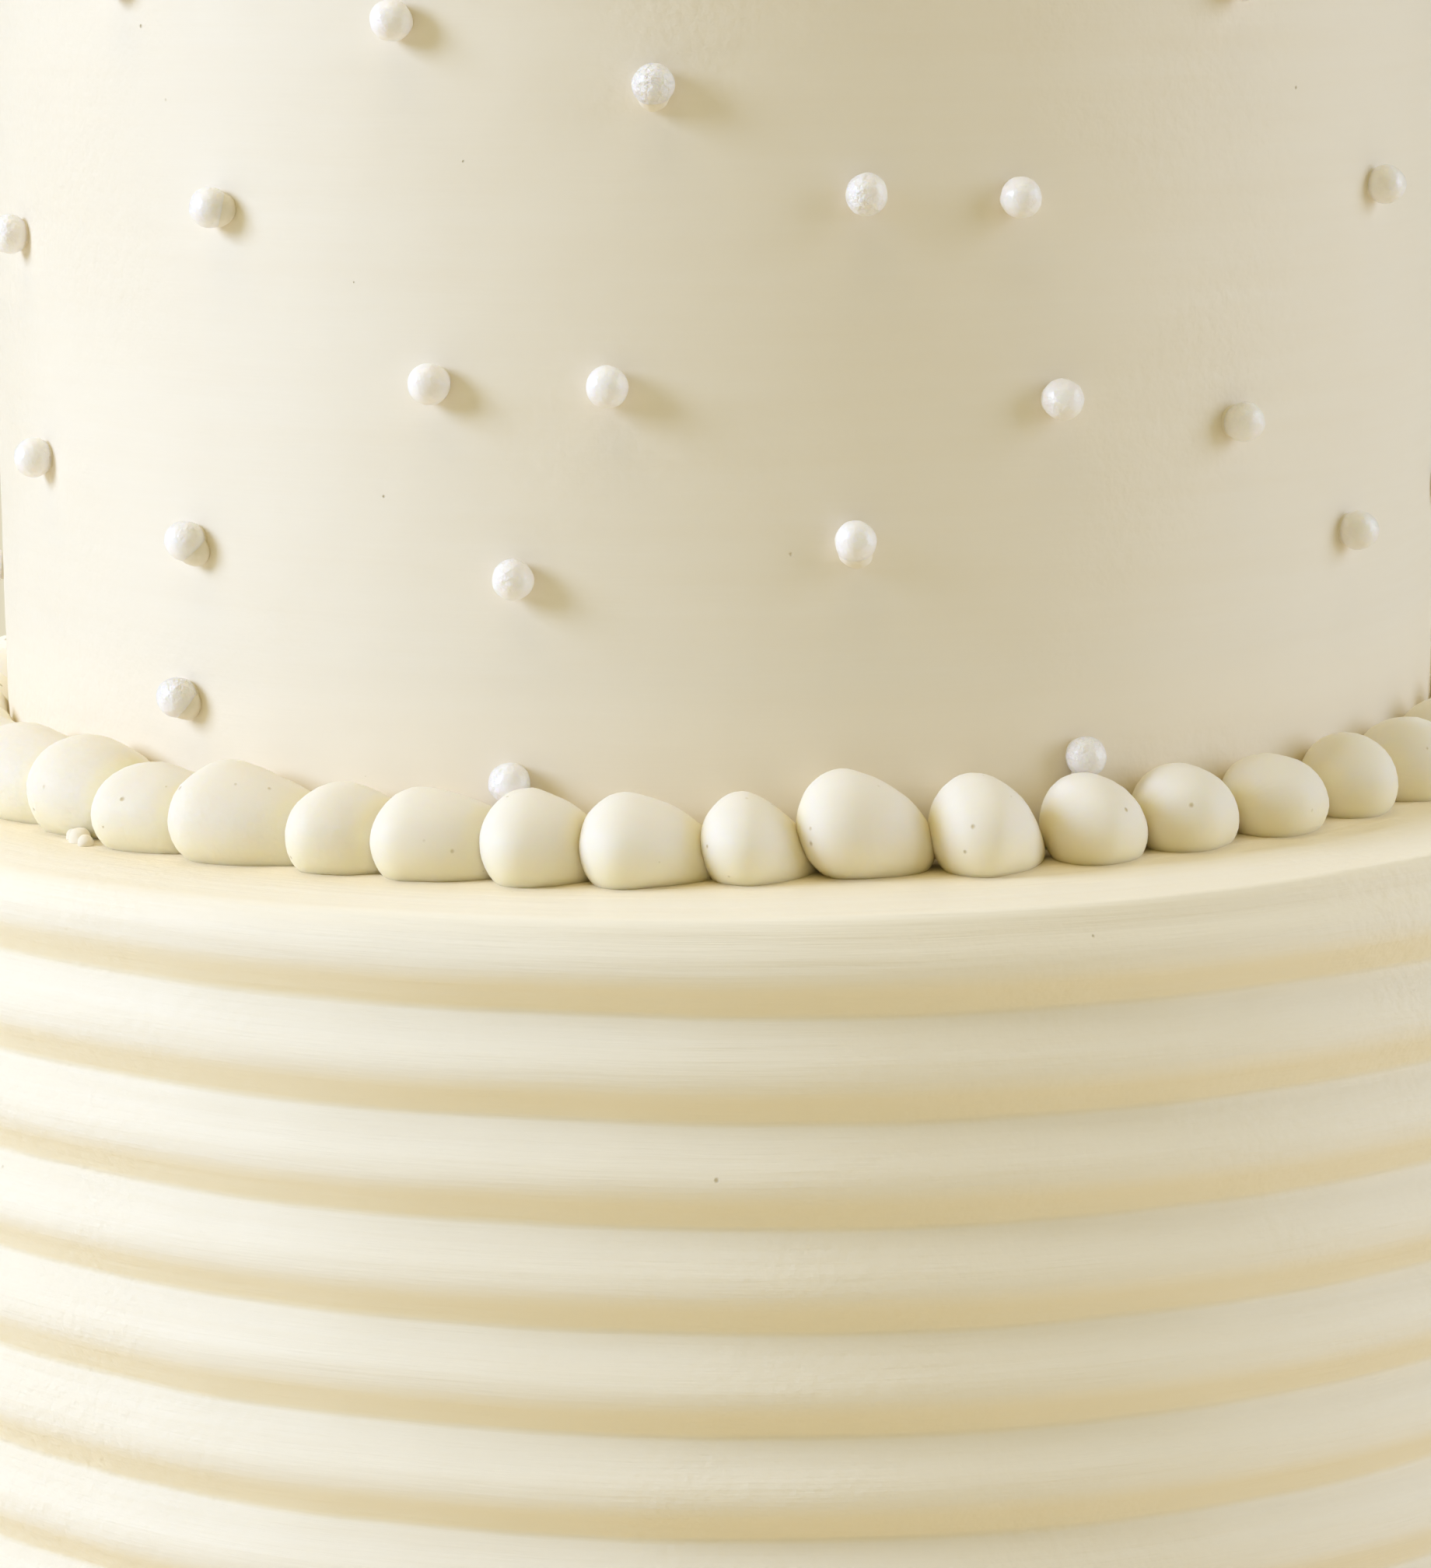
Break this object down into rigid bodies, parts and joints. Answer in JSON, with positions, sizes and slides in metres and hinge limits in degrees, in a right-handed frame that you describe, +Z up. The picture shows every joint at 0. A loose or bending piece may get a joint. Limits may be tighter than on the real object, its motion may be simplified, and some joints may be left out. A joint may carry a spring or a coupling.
{
  "type": "two-tier buttercream cake",
  "caption": "Round cake of a smooth narrow tier dotted with sugar pearls over a wide combed tier, with piped bead borders.",
  "frame": {"origin": "centre of the flat base, on the surface that the cake stands on", "axes": "+Z up along the tiers' axis; -Y towards the side that the picture shows; +X to its right"},
  "size_m": [0.2314, 0.2317, 0.2215],
  "materials": {
    "combed_buttercream": "satin buttercream with comb drag lines",
    "smooth_buttercream": "satin buttercream smoothed with a scraper",
    "piped_buttercream": "soft satin piped buttercream",
    "sugar_pearl": "soft pearl lustre"
  },
  "bodies": {
    "root": {"lower_tier": "combed_buttercream", "upper_tier": "smooth_buttercream", "tier_bead_border": "piped_buttercream", "base_bead_border": "piped_buttercream"}
  },
  "joints": []
}
